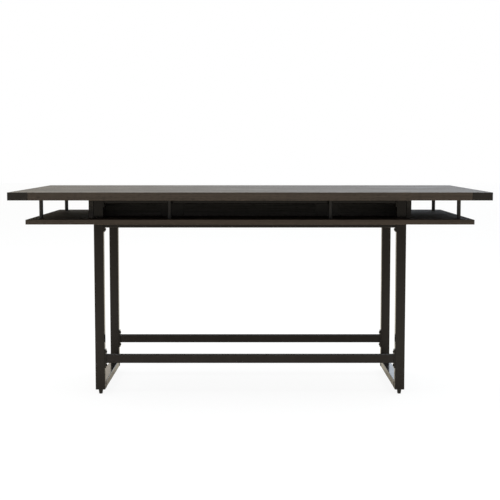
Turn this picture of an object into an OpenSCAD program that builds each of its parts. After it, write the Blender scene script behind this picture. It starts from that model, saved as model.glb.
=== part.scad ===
// Standing-height conference table with a storage shelf hung under the top.
// Millimetres, +Z up. The origin is on the floor under the middle of the tabletop.
// The front is -Y, the left end is -X.

/* [Tabletop] */
// Length of the tabletop
top_l = 2400; // [1800:10:3000]
// Depth of the tabletop, front to rear
top_d = 1200; // [1000:10:1500]
// Thickness of the tabletop
top_t = 40; // [30:1:50]
// Height of the tabletop above the floor
table_h = 1068; // [700:1:1200]
// Thickness of the laminate and of the backing sheet
laminate_t = 0.8; // [0.5:0.1:1.5]
// Thickness of the edge banding
band_t = 2; // [1:0.5:3]
// Length of a steel corner cap along each edge
cap_l = 101; // [60:1:160]
// Steel thickness of a corner cap
cap_t = 3; // [2:0.5:4]

/* [Storage shelf] */
// Thickness of the shelf
shelf_t = 24; // [18:1:30]
// Clear height between shelf and tabletop
shelf_gap = 101; // [80:1:140]
// Distance of the shelf's ends from the tabletop's ends
shelf_inset_x = 70; // [30:5:120]
// Distance of the shelf's long edges from the tabletop's long edges
shelf_inset_y = 92.5; // [60:0.5:140]
// Diameter of a shelf post
post_d = 20; // [16:1:25]
// Distance of an end post's axis from the shelf's end
post_inset_x = 60; // [25:1:90]
// Distance of a post's axis from the shelf's long edge
post_inset_y = 111.5; // [25:0.5:130]
// Distance of a middle post's axis from the table's middle
post_mid_x = 412.5; // [300:0.5:500]

/* [Leg frames] */
// Width of the leg tube, along the table
tube_w = 50; // [40:1:60]
// Depth of the leg tube, front to rear
tube_d = 40; // [30:1:50]
// Wall of every frame tube
tube_wall = 2; // [1.5:0.5:3]
// Outer corner radius of every frame tube
tube_r = 3; // [2:0.5:4]
// Height of the floor runner
runner_h = 38; // [30:1:50]
// Distance of a leg's outer face from the tabletop's end
leg_inset_x = 389.5; // [300:0.5:480]
// Distance of a leg's front face from the tabletop's edge
leg_inset_y = 261.5; // [220:0.5:320]
// Clearance round a leg where it passes through the shelf
slot_clear = 1; // [0.5:0.5:3]

/* [Stretchers] */
// Height of the footrest tube
footrest_h = 43; // [30:1:50]
// Height of the footrest's underside above the floor
footrest_z = 165; // [120:1:300]
// Height of a footrest's end flange
footrest_flange_h = 99; // [90:1:130]
// Height of the shelf beam and of the top rail
beam_h = 27; // [25:1:40]
// Height of the end flange of a shelf beam and of a top rail
beam_flange_h = 49.5; // [46:0.5:70]
// Thickness of every end flange
flange_t = 6; // [4:0.5:8]
// Corner radius of every end flange
flange_r = 6; // [3:1:8]

/* [Wireway and bay sides] */
// Width of the wireway over its panels, front to rear
wireway_w = 330; // [240:5:400]
// Thickness of a wireway panel
wireway_t = 18; // [15:1:24]
// Thickness of the panel that closes a storage bay's end
side_t = 24; // [18:1:30]
// Gap between a bay side and the legs
side_gap = 1; // [0.5:0.5:3]
// Width of an access cover
cover_w = 125; // [100:1:150]
// Height of an access cover
cover_h = 92; // [60:1:96]
// Thickness of an access cover
cover_t = 2; // [1.5:0.5:3]
// Overlap of a cover on the panel round its opening
cover_lap = 12; // [10:1:16]
// Distance of a cable hole's axis from the bay side
cable_hole_inset = 131.5; // [90:0.5:200]
// Diameter of a cable hole inside its grommet
cable_hole_d = 50; // [30:1:60]
// Wall of a cable grommet
grommet_wall = 3; // [2:0.5:4]
// Width of a cable grommet's rim beyond its wall
grommet_rim = 5; // [3:1:8]

/* [Levelling glides] */
// Gap between the leg and the floor
glide_gap = 24; // [20:1:34]
// Diameter of a glide's upper rim
glide_top_d = 23; // [18:1:26]
// Diameter of the face that stands on the floor
glide_base_d = 18; // [12:1:22]
// Gap between a glide and its plug when it is wound right in
glide_neck = 2; // [1:0.5:4]
// Diameter of the glide's threaded stem
stem_d = 8; // [6:1:10]
// Length of the glide's threaded stem
stem_l = 36; // [34:1:45]
// Height of the foot plug inside the leg
plug_h = 18; // [14:1:24]
// Thickness of the foot plug's collar under the leg
plug_collar = 3; // [2:0.5:5]

/* [Fasteners] */
// Diameter of a flange bolt
bolt_d = 8; // [6:1:8]
// Diameter of a flange bolt's head
bolt_head_d = 14; // [12:1:15]
// Height of a flange bolt's head
bolt_head_h = 4; // [3:0.5:5]
// Width across the flats of a weld nut
nut_af = 13; // [11:1:14]
// Height of a weld nut
nut_h = 6.5; // [5:0.5:7]
// Diameter of a wood screw
screw_d = 5; // [4:0.5:6]
// Diameter of a wood screw's head
screw_head_d = 10; // [8:0.5:11]
// Height of a wood screw's head
screw_head_h = 3; // [2:0.5:4]
// Depth of a wood screw in a panel
screw_grip = 16; // [12:1:20]
// Leg length of a panel bracket
bracket_leg = 22; // [18:1:28]
// Width of a panel bracket
bracket_w = 30; // [20:1:40]
// Steel thickness of a panel bracket
bracket_t = 2; // [1.5:0.5:3]

/* [Clearances] */
// Radial clearance of a bolt or screw in its plain hole
hole_clear = 0.3; // [0.1:0.1:0.5]
// Radial clearance of a thread in its nut, plug or pilot hole
thread_clear = 0.05; // [0.02:0.01:0.1]
// Clearance of a plug or grommet in its seat
seat_clear = 0.1; // [0.05:0.05:0.3]

/* [Hidden] */
$fn = 48;

// Signs and names of the four corners, and of the two long sides and two ends
CORNERS = [[-1, -1, "front_left"], [1, -1, "front_right"], [-1, 1, "rear_left"], [1, 1, "rear_right"]];
SIDES = [[-1, "front"], [1, "rear"]];
ENDS = [[-1, "left"], [1, "right"]];

laminate_colour = [0.26, 0.22, 0.19];
band_colour = [0.28, 0.24, 0.21];
steel_colour = [0.15, 0.14, 0.13];
plastic_colour = [0.1, 0.1, 0.1];
zinc_colour = [0.6, 0.6, 0.62];

// Heights of the main levels
top_under = table_h - top_t;
shelf_top = top_under - shelf_gap;
shelf_under = shelf_top - shelf_t;
leg_foot = glide_gap;

// Overshoot of a cutting shape past the face it cuts
cut = 1;

// Half sizes of the shelf, and centres of the leg tubes
shelf_x = top_l / 2 - shelf_inset_x;
shelf_y = top_d / 2 - shelf_inset_y;
leg_x = top_l / 2 - leg_inset_x - tube_w / 2;
leg_y = top_d / 2 - leg_inset_y - tube_d / 2;
leg_inner_x = leg_x - tube_w / 2;
leg_outer_x = leg_x + tube_w / 2;
leg_inner_y = leg_y - tube_d / 2;
leg_outer_y = leg_y + tube_d / 2;

// Inner corner radius of a frame tube
inner_extra_r = 0.5;
tube_inner_r = max(tube_r - tube_wall, 0) + inner_extra_r;

// Posts, from left to right, and their distance from the middle, front to rear
post_xs = [-shelf_x + post_inset_x, -post_mid_x, post_mid_x, shelf_x - post_inset_x];
post_y = shelf_y - post_inset_y;
post_screw_grip = 20;
post_stud_grip = 22;
post_stud_hole_d = screw_d + 2 * thread_clear;

// Wireway and bay sides
side_inner_x = leg_outer_x + side_gap;
wireway_y = wireway_w / 2;
cover_z = shelf_top + (shelf_gap - cover_h) / 2;
cover_mid_z = cover_z + cover_h / 2;
cover_r = 4;
cable_hole_x = side_inner_x - cable_hole_inset;
grommet_d = cable_hole_d + 2 * grommet_wall;
grommet_rim_t = 1.5;

// Stretcher length between its flanges, and the middle height of each kind
stretcher_l = 2 * (leg_inner_x - flange_t);
footrest_mid_z = footrest_z + footrest_h / 2;
beam_z = shelf_under - beam_h;
rail_z = top_under - beam_h;

// Bolts: one above and one below a footrest, two side by side under a beam or a rail
footrest_bolt_dz = (footrest_h + footrest_flange_h) / 4;
beam_bolt_dy = 10;
beam_bolt_drop = (beam_h + beam_flange_h) / 2;
bolt_end = 2;
bolt_reach = flange_t + tube_wall + nut_h + bolt_end;

// Shape of a bolt's head: its outer diameter, and its socket's width and depth, as shares of its own sizes
head_taper = 0.7;
socket_width = 0.72;
socket_depth = 0.6;

// Places of the screws that hold the tabletop to the rails and the shelf to the beams
stretcher_screw_end = 104.5;
stretcher_screw_far = stretcher_l / 2 - stretcher_screw_end;
near_screw_share = 0.35;
stretcher_screw_near = near_screw_share * stretcher_screw_far;
stretcher_screw_xs = [for (s = [-1, 1], x = [stretcher_screw_far, stretcher_screw_near]) s * x];
access_clear = 1.5;
access_hole_d = screw_head_d + 2 * access_clear;
panel_pilot_d = screw_d + 2 * thread_clear;

// Brackets along a wireway panel and along a bay side
wireway_bracket_x = (post_mid_x + cover_w / 2 + side_inner_x) / 2;
wireway_bracket_xs = [-wireway_bracket_x, 0, wireway_bracket_x];
side_bracket_y = (wireway_y + leg_outer_y) / 2;
side_bracket_ys = [-side_bracket_y, side_bracket_y];
bracket_hole_at = bracket_t + (bracket_leg - bracket_t) / 2;
cover_screw_inset = 6;
cover_screw_d = 3.5;
cover_screw_head_d = 7;
cover_screw_head_h = 2;
cover_screw_grip = 12;
cover_pilot_d = cover_screw_d + 2 * thread_clear;

// Room left at the end of a pilot hole past its screw's tip
pilot_room = 1;

// Height of a glide's upper rim
glide_rim_h = 3;

// Rectangle with round corners, centred
module round_rect(w, d, r) {
  square([w - 2 * r, d], center = true);
  square([w, d - 2 * r], center = true);
  for (x = [-1, 1], y = [-1, 1])
    translate([x * (w / 2 - r), y * (d / 2 - r)]) circle(r);
}

// Section of a rectangular tube, centred
module tube_section(w, d) {
  difference() {
    round_rect(w, d, tube_r);
    round_rect(w - 2 * tube_wall, d - 2 * tube_wall, tube_inner_r);
  }
}

// Tube along X, centred on its own axis, size y by z
module tube_x(l, y, z) {
  rotate([0, 90, 0]) linear_extrude(l, center = true) tube_section(z, y);
}

// Tube along Y, centred on its own axis, size x by z
module tube_y(l, x, z) {
  rotate([90, 0, 0]) linear_extrude(l, center = true) tube_section(x, z);
}

// Frame of four strips that covers the edges of a panel, short of each corner by the given length
module edge_strips(l, d, t, corner) {
  for (s = [-1, 1]) {
    translate([0, s * (d - band_t) / 2, 0]) cube([l - 2 * corner, band_t, t], center = true);
    translate([s * (l - band_t) / 2, 0, 0])
      cube([band_t, d - 2 * max(corner, band_t), t], center = true);
  }
}

// Everything that goes through the underside of the tabletop
module top_holes() {
  for (s = [-1, 1], x = stretcher_screw_xs)
    translate([x, s * leg_y, top_under - cut])
      cylinder(h = screw_grip + cut + pilot_room, d = panel_pilot_d);
  for (s = [-1, 1], x = post_xs)
    translate([x, s * post_y, top_under - cut])
      cylinder(h = post_stud_grip + cut + pilot_room, d = post_stud_hole_d);
  bracket_pilots(1);
}

// Outline of the tabletop board: edge banding and corner caps are let into it
module top_outline() {
  difference() {
    square([top_l - 2 * band_t, top_d - 2 * band_t], center = true);
    for (c = CORNERS)
      corner_place(c) cap_outline();
  }
}

// L outline of a corner cap, with its outer corner at the origin and its legs along +X and +Y
module cap_outline() {
  square([cap_l, cap_t]);
  square([cap_t, cap_l]);
}

// Puts a shape drawn at the front left corner at the corner c
module corner_place(c) {
  mirror([c[0] > 0 ? 1 : 0, 0, 0]) mirror([0, c[1] > 0 ? 1 : 0, 0])
    translate([-top_l / 2, -top_d / 2, 0]) children();
}

module tabletop_core() {
  color(laminate_colour) difference() {
    translate([0, 0, top_under + laminate_t])
      linear_extrude(top_t - 2 * laminate_t) top_outline();
    top_holes();
  }
}

module tabletop_laminate() {
  color(laminate_colour) translate([0, 0, table_h - laminate_t]) linear_extrude(laminate_t) top_outline();
}

module tabletop_backer() {
  color(laminate_colour) difference() {
    translate([0, 0, top_under]) linear_extrude(laminate_t) top_outline();
    top_holes();
  }
}

module tabletop_edge_bands() {
  color(band_colour) translate([0, 0, top_under + top_t / 2]) edge_strips(top_l, top_d, top_t, cap_l);
}

module corner_cap(c) {
  color(steel_colour) translate([0, 0, top_under]) corner_place(c) linear_extrude(top_t) cap_outline();
}

module shelf_panel() {
  color(laminate_colour) difference() {
    translate([0, 0, shelf_under + shelf_t / 2])
      cube([2 * (shelf_x - band_t), 2 * (shelf_y - band_t), shelf_t], center = true);
    for (c = CORNERS)
      translate([c[0] * leg_x, c[1] * leg_y, shelf_under - cut]) linear_extrude(shelf_t + 2 * cut)
        round_rect(tube_w + 2 * slot_clear, tube_d + 2 * slot_clear, tube_r + slot_clear);
    for (s = [-1, 1])
      translate([s * cable_hole_x, 0, shelf_under - cut])
        cylinder(h = shelf_t + 2 * cut, d = grommet_d + 2 * seat_clear);
    for (s = [-1, 1], x = post_xs)
      translate([x, s * post_y, shelf_under - cut])
        cylinder(h = shelf_t + 2 * cut, d = screw_d + 2 * hole_clear);
    for (s = [-1, 1], x = stretcher_screw_xs)
      translate([x, s * leg_y, shelf_under - cut])
        cylinder(h = screw_grip + cut + pilot_room, d = panel_pilot_d);
    bracket_pilots(-1);
  }
}

module shelf_edge_bands() {
  color(band_colour) translate([0, 0, shelf_under + shelf_t / 2])
    edge_strips(2 * shelf_x, 2 * shelf_y, shelf_t, 0);
}

// Round post with a threaded blind hole in each end
module post(x, side) {
  color(steel_colour) translate([x, side * post_y, shelf_top]) difference() {
    cylinder(h = shelf_gap, d = post_d);
    translate([0, 0, -cut]) cylinder(h = post_screw_grip + cut + pilot_room, d = post_stud_hole_d);
    translate([0, 0, shelf_gap - post_screw_grip - pilot_room])
      cylinder(h = post_screw_grip + cut + pilot_room, d = post_stud_hole_d);
  }
}

// Long panel of the wireway, with an opening behind each access cover
module wireway_panel(side) {
  color(laminate_colour) difference() {
    translate([-side_inner_x, side > 0 ? wireway_y - wireway_t : -wireway_y, shelf_top])
      cube([2 * side_inner_x, wireway_t, shelf_gap]);
    for (s = [-1, 1]) {
      translate([s * post_mid_x, side * wireway_y, cover_mid_z])
        cube([cover_w - 2 * cover_lap, 3 * wireway_t, cover_h - 2 * cover_lap], center = true);
      cover_screw_places(s, side) translate([0, 0, -cover_screw_grip])
        cylinder(h = cover_screw_grip + cut, d = cover_pilot_d);
    }
    for (b = wireway_brackets())
      if (b[3] == side) bracket_panel_hole(b);
  }
}

module bay_side(s) {
  color(laminate_colour) difference() {
    translate([s > 0 ? side_inner_x : -side_inner_x - side_t, -leg_outer_y, shelf_top])
      cube([side_t, 2 * leg_outer_y, shelf_gap]);
    for (b = side_brackets())
      if (b[3] == s) bracket_panel_hole(b);
  }
}

module access_cover(s, side) {
  color(steel_colour) difference() {
    translate([s * post_mid_x, side * (wireway_y + cover_t / 2), cover_mid_z])
      rotate([90, 0, 0]) linear_extrude(cover_t, center = true) round_rect(cover_w, cover_h, cover_r);
    cover_screw_places(s, side) translate([0, 0, -cut])
      cylinder(h = cover_t + 2 * cut, d = cover_screw_d + 2 * hole_clear);
  }
}

// The four screws of one access cover: +Z runs out of the panel's face
module cover_screw_places(s, side) {
  for (i = [-1, 1], k = [-1, 1])
    translate([
      s * post_mid_x + i * (cover_w / 2 - cover_screw_inset), side * wireway_y,
      cover_mid_z + k * (cover_h / 2 - cover_screw_inset)
    ]) rotate([-side * 90, 0, 0]) children();
}

module cover_screws() {
  color(zinc_colour) for (s = [-1, 1], side = [-1, 1])
    cover_screw_places(s, side) {
      translate([0, 0, pilot_room - cover_screw_grip])
        cylinder(h = cover_screw_grip - pilot_room + cover_t, d = cover_screw_d);
      translate([0, 0, cover_t]) cylinder(h = cover_screw_head_h, d = cover_screw_head_d);
    }
}

// Rimmed sleeve in each cable hole of the shelf
module cable_grommets() {
  color(plastic_colour) for (s = [-1, 1])
    translate([s * cable_hole_x, 0, 0]) difference() {
      union() {
        translate([0, 0, shelf_under]) cylinder(h = shelf_t, d = grommet_d);
        translate([0, 0, shelf_top]) cylinder(h = grommet_rim_t, d = grommet_d + 2 * grommet_rim);
      }
      translate([0, 0, shelf_under - cut])
        cylinder(h = shelf_t + grommet_rim_t + 2 * cut, d = cable_hole_d);
    }
}

// Leg tube from its foot plug to the tabletop, drilled for the flange bolts
module upright(c) {
  color(steel_colour) difference() {
    translate([c[0] * leg_x, c[1] * leg_y, leg_foot + plug_collar])
      linear_extrude(top_under - leg_foot - plug_collar) tube_section(tube_w, tube_d);
    for (b = flange_bolt_places())
      if (b[0] == c[0] && b[1] == c[1]) flange_bolt_hole(b);
  }
}

// Floor tube between the front and the rear leg of one frame
module runner(s) {
  color(steel_colour) translate([s * leg_x, 0, leg_foot + runner_h / 2])
    tube_y(2 * leg_inner_y, tube_w, runner_h);
}

module footrest(side) {
  color(steel_colour) translate([0, side * leg_y, footrest_mid_z]) tube_x(stretcher_l, tube_d, footrest_h);
}

// Tube that carries a panel, with screw holes in its upper wall and access holes in its lower wall
module screwed_tube(side, z) {
  difference() {
    translate([0, side * leg_y, z + beam_h / 2]) tube_x(stretcher_l, tube_d, beam_h);
    for (x = stretcher_screw_xs) {
      translate([x, side * leg_y, z + beam_h / 2]) cylinder(h = beam_h, d = screw_d + 2 * hole_clear);
      translate([x, side * leg_y, z - cut]) cylinder(h = beam_h / 2, d = access_hole_d);
    }
  }
}

module shelf_beam(side) {
  color(steel_colour) screwed_tube(side, beam_z);
}

module top_rail(side) {
  color(steel_colour) screwed_tube(side, rail_z);
}

// End plates at the four legs, from height z up, h tall
module flanges(z, h) {
  difference() {
    for (c = CORNERS)
      translate([c[0] * (leg_inner_x - flange_t / 2), c[1] * leg_y, z + h / 2])
        rotate([0, 90, 0]) linear_extrude(flange_t, center = true) round_rect(h, tube_d, flange_r);
    for (b = flange_bolt_places())
      flange_bolt_hole(b);
  }
}

module footrest_flanges() {
  color(steel_colour) flanges(footrest_mid_z - footrest_flange_h / 2, footrest_flange_h);
}

module shelf_beam_flanges() {
  color(steel_colour) flanges(shelf_under - beam_flange_h, beam_flange_h);
}

module top_rail_flanges() {
  color(steel_colour) flanges(top_under - beam_flange_h, beam_flange_h);
}

// Every flange bolt as [end sign, side sign, y, z]
function flange_bolt_places() = [
  for (c = CORNERS) each [
    for (k = [-1, 1]) [c[0], c[1], c[1] * leg_y, footrest_mid_z + k * footrest_bolt_dz],
    for (k = [-1, 1], z = [shelf_under, top_under])
      [c[0], c[1], c[1] * leg_y + k * beam_bolt_dy, z - beam_bolt_drop]
  ]
];

// Puts a shape at a flange bolt: the origin is on the flange's face and +Z runs into the leg
module at_flange_bolt(b) {
  translate([b[0] * (leg_inner_x - flange_t), b[2], b[3]]) rotate([0, b[0] * 90, 0]) children();
}

module flange_bolt_hole(b) {
  at_flange_bolt(b) translate([0, 0, -cut])
    cylinder(h = flange_t + tube_wall + 2 * cut, d = bolt_d + 2 * hole_clear);
}

module flange_bolts() {
  color(steel_colour) for (b = flange_bolt_places())
    at_flange_bolt(b) {
      cylinder(h = bolt_reach, d = bolt_d);
      difference() {
        translate([0, 0, -bolt_head_h])
          cylinder(h = bolt_head_h, d1 = bolt_head_d * head_taper, d2 = bolt_head_d);
        translate([0, 0, -bolt_head_h - cut])
          cylinder(h = bolt_head_h * socket_depth + cut, d = bolt_d * socket_width, $fn = 6);
      }
    }
}

module weld_nuts() {
  color(zinc_colour) for (b = flange_bolt_places())
    at_flange_bolt(b) translate([0, 0, flange_t + tube_wall]) difference() {
      cylinder(h = nut_h, d = nut_af / cos(30), $fn = 6);
      translate([0, 0, -cut]) cylinder(h = nut_h + 2 * cut, d = bolt_d + 2 * thread_clear);
    }
}

// Wood screw: the origin is under its head and +Z runs along its shank
module wood_screw(l) {
  cylinder(h = l, d = screw_d);
  translate([0, 0, -screw_head_h]) cylinder(h = screw_head_h, d = screw_head_d);
}

module tabletop_screws() {
  color(zinc_colour) for (s = [-1, 1], x = stretcher_screw_xs)
    translate([x, s * leg_y, top_under - tube_wall]) wood_screw(tube_wall + screw_grip);
}

module shelf_screws() {
  color(zinc_colour) for (s = [-1, 1], x = stretcher_screw_xs)
    translate([x, s * leg_y, shelf_under - tube_wall]) wood_screw(tube_wall + screw_grip);
}

// Screws through the shelf into the posts
module post_screws() {
  color(zinc_colour) for (s = [-1, 1], x = post_xs)
    translate([x, s * post_y, shelf_under]) wood_screw(shelf_t + post_screw_grip);
}

// Headless studs from the posts into the tabletop
module post_studs() {
  color(zinc_colour) for (s = [-1, 1], x = post_xs)
    translate([x, s * post_y, top_under - post_screw_grip])
      cylinder(h = post_screw_grip + post_stud_grip, d = screw_d);
}

// Moulded plug that closes a leg's foot and holds the glide's thread
module foot_plug(c) {
  inset = 2 * (tube_wall + seat_clear);
  color(plastic_colour) translate([c[0] * leg_x, c[1] * leg_y, leg_foot]) difference() {
    union() {
      linear_extrude(plug_collar) round_rect(tube_w, tube_d, tube_r);
      translate([0, 0, plug_collar]) linear_extrude(plug_h)
        round_rect(tube_w - inset, tube_d - inset, tube_inner_r);
    }
    translate([0, 0, -cut]) cylinder(h = plug_collar + plug_h + 2 * cut, d = stem_d + 2 * thread_clear);
  }
}

// Levelling glide: a tapered foot and its threaded stem
module glide(c) {
  foot_h = glide_gap - glide_neck;
  color(plastic_colour) translate([c[0] * leg_x, c[1] * leg_y, 0]) {
    cylinder(h = foot_h - glide_rim_h, d1 = glide_base_d, d2 = glide_top_d);
    translate([0, 0, foot_h - glide_rim_h]) cylinder(h = glide_rim_h, d = glide_top_d);
    translate([0, 0, foot_h]) cylinder(h = stem_l, d = stem_d);
  }
}

// Brackets as [x, y, angle, owner sign, up sign]: the panel's face is at x, y and the bracket stands off it
function wireway_brackets() = [
  for (side = [-1, 1], x = wireway_bracket_xs, up = [-1, 1])
    [x, side * (wireway_y - wireway_t), side > 0 ? 180 : 0, side, up]
];
function side_brackets() = [
  for (s = [-1, 1], y = side_bracket_ys, up = [-1, 1])
    [s * side_inner_x, y, s > 0 ? 90 : -90, s, up]
];
function all_brackets() = concat(wireway_brackets(), side_brackets());

// Puts a shape at a bracket: the panel's face is the plane y = 0, and z = 0 is the shelf or the tabletop
module at_bracket(b) {
  translate([b[0], b[1], b[4] > 0 ? top_under : shelf_top]) rotate([0, 0, b[2]])
    mirror([0, 0, b[4] > 0 ? 1 : 0]) children();
}

// Steel angle: one leg on the panel, one on the shelf or under the tabletop
module bracket() {
  difference() {
    union() {
      translate([-bracket_w / 2, 0, 0]) cube([bracket_w, bracket_leg, bracket_t]);
      translate([-bracket_w / 2, 0, 0]) cube([bracket_w, bracket_t, bracket_leg]);
    }
    translate([0, bracket_hole_at, -cut])
      cylinder(h = bracket_t + 2 * cut, d = cover_screw_d + 2 * hole_clear);
    translate([0, -cut, bracket_hole_at]) rotate([-90, 0, 0])
      cylinder(h = bracket_t + 2 * cut, d = cover_screw_d + 2 * hole_clear);
  }
}

module panel_brackets() {
  color(zinc_colour) for (b = all_brackets())
    at_bracket(b) bracket();
}

// Pilot holes of the brackets' screws in the shelf (up = -1) or in the tabletop (up = 1)
module bracket_pilots(up) {
  for (b = all_brackets())
    if (b[4] == up) at_bracket(b) translate([0, bracket_hole_at, -cover_screw_grip])
      cylinder(h = cover_screw_grip + cut, d = cover_pilot_d);
}

// Pilot hole in the panel that a bracket stands against
module bracket_panel_hole(b) {
  at_bracket(b) translate([0, cut, bracket_hole_at]) rotate([90, 0, 0])
    cylinder(h = cover_screw_grip + cut, d = cover_pilot_d);
}

// Screw through one leg of a bracket: +Z runs out of the panel
module bracket_screw() {
  translate([0, 0, pilot_room - cover_screw_grip])
    cylinder(h = cover_screw_grip - pilot_room + bracket_t, d = cover_screw_d);
  translate([0, 0, bracket_t]) cylinder(h = cover_screw_head_h, d = cover_screw_head_d);
}

module bracket_screws() {
  color(zinc_colour) for (b = all_brackets())
    at_bracket(b) {
      translate([0, bracket_hole_at, 0]) bracket_screw();
      translate([0, 0, bracket_hole_at]) rotate([-90, 0, 0]) bracket_screw();
    }
}

tabletop_core();
tabletop_laminate();
tabletop_backer();
tabletop_edge_bands();
for (c = CORNERS)
  corner_cap(c);
shelf_panel();
shelf_edge_bands();
for (side = SIDES, i = [0:3])
  post(post_xs[i], side[0]);
for (side = SIDES)
  wireway_panel(side[0]);
for (end = ENDS)
  bay_side(end[0]);
for (c = CORNERS)
  access_cover(c[0], c[1]);
cable_grommets();
for (c = CORNERS)
  upright(c);
for (end = ENDS)
  runner(end[0]);
for (side = SIDES)
  footrest(side[0]);
footrest_flanges();
for (side = SIDES)
  shelf_beam(side[0]);
shelf_beam_flanges();
for (side = SIDES)
  top_rail(side[0]);
top_rail_flanges();
for (c = CORNERS)
  foot_plug(c);
for (c = CORNERS)
  glide(c);
flange_bolts();
weld_nuts();
tabletop_screws();
shelf_screws();
post_screws();
post_studs();
cover_screws();
panel_brackets();
bracket_screws();
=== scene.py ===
# %% [markdown]
# # A standing-height conference table with a storage shelf
#
# This lesson dresses a finished CAD model of a tall conference table. The CAD gives every body its size and
# place. Blender gives each one the eased corners, weld beads, screw heads, threads and finishes that a real
# table has. The real table is a brown woodgrain laminate top on two welded steel frames, with a shelf hung
# between them. Work in this order: load the frame, set up the studio, make the shared effects, make the
# finishes, then the pieces.

# %% Load the frame
import math

import bmesh
import bpy
from mathutils import Matrix, Vector


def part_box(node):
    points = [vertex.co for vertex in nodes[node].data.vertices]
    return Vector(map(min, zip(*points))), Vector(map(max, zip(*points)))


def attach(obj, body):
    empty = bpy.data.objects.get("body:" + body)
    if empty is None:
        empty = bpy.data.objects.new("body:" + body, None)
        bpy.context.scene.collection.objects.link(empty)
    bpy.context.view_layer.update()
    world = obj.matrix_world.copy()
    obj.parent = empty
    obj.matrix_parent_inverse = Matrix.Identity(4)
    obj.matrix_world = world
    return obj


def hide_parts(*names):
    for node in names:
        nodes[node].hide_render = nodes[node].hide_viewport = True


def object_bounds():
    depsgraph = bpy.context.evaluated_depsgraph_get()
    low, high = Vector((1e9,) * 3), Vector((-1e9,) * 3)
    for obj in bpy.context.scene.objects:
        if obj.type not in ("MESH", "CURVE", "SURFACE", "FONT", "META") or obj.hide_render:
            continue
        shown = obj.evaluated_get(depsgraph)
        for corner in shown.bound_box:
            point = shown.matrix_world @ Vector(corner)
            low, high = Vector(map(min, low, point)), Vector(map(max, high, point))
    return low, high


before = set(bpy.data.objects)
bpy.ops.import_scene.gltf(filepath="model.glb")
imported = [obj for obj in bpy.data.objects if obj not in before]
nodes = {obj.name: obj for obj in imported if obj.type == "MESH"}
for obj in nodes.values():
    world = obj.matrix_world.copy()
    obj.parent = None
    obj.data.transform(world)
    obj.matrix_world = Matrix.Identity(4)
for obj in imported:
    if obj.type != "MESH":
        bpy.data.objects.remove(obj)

TABLE = "table"
cad_box = [list(corner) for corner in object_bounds()]

# %% [markdown]
# ## Studio
#
# The table is seen from well in front and a little above its top, with a long lens, so its long edges stay
# level and its legs stay upright. The floor is one plain pale sheet that runs out of sight. A large softbox
# hangs overhead and the room is bright behind the table and dimmer in front of it, so that flat dark faces
# stay dark while faces seen at a glancing angle shine. That contrast is what makes powder coat and laminate
# look like what they are.

# %% Camera
scene = bpy.context.scene
scene.view_settings.view_transform = "Standard"

top_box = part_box("tabletop_laminate")
table_height = top_box[1].z
CAMERA_DISTANCE = 5.5157
CAMERA_ABOVE_TOP = 0.1983
CAMERA_TILT = 84.99
LENS = 80.4

camera_data = bpy.data.cameras.new("studio_camera")
camera_data.lens = LENS
camera_data.sensor_width = 36.0
camera_data.clip_end = 200.0
camera = bpy.data.objects.new("studio_camera", camera_data)
camera.location = (0.0, cad_box[0][1] - CAMERA_DISTANCE, table_height + CAMERA_ABOVE_TOP)
camera.rotation_euler = (math.radians(CAMERA_TILT), 0.0, 0.0)
scene.collection.objects.link(camera)
scene.camera = camera
print("camera at", [round(value, 3) for value in camera.location])

# %% Helpers for node trees
def put(tree, kind, sockets=None, **settings):
    """Adds one node, sets its own settings, and fills its sockets with values or with links."""
    made = tree.nodes.new(kind)
    for name, value in settings.items():
        setattr(made, name, value)
    for name, value in (sockets or {}).items():
        socket = made.inputs[name]
        if isinstance(value, bpy.types.NodeSocket):
            tree.links.new(value, socket)
        else:
            socket.default_value = value
    return made


def maths(tree, operation, first, second=0.0, clamp=False):
    """One Math node; gives its output."""
    return put(tree, "ShaderNodeMath", {0: first, 1: second}, operation=operation, use_clamp=clamp).outputs[0]


def times(tree, first, second):
    """The product of two values."""
    return maths(tree, "MULTIPLY", first, second)


def plus(tree, first, second):
    """The sum of two values."""
    return maths(tree, "ADD", first, second)


def minus(tree, first, second):
    """The first value less the second."""
    return maths(tree, "SUBTRACT", first, second)


def between(tree, value, low, high, to_low=0.0, to_high=1.0):
    """Spreads the range low to high over the range to_low to to_high, without going past it."""
    sockets = {"Value": value, "From Min": low, "From Max": high, "To Min": to_low, "To Max": to_high}
    return put(tree, "ShaderNodeMapRange", sockets, clamp=True).outputs["Result"]


def tint(tree, factor, first, second):
    """Mixes two colours."""
    return put(tree, "ShaderNodeMix", {0: factor, 6: first, 7: second}, data_type="RGBA").outputs[2]


def choose(tree, factor, first, second):
    """Mixes two numbers."""
    return put(tree, "ShaderNodeMix", {0: factor, 2: first, 3: second}, data_type="FLOAT").outputs[0]


def noise(tree, vector, scale, detail=3.0, roughness=0.5):
    """One Noise Texture; gives its value."""
    sockets = {"Vector": vector, "Scale": scale, "Detail": detail, "Roughness": roughness}
    return put(tree, "ShaderNodeTexNoise", sockets).outputs["Fac"]


def scaled(colour, factor):
    """A colour made brighter or darker by a factor."""
    return tuple(factor * part for part in colour[:3]) + (1.0,)


def own_place(tree):
    """The place of a point on the object itself."""
    return put(tree, "ShaderNodeTexCoord").outputs["Object"]


def axes_of(tree, vector):
    """The three numbers of a vector, by the names X, Y and Z."""
    return put(tree, "ShaderNodeSeparateXYZ", {"Vector": vector}).outputs


def facing(tree):
    """Which way a face looks, as three numbers."""
    return axes_of(tree, put(tree, "ShaderNodeTexCoord").outputs["Normal"])


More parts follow.
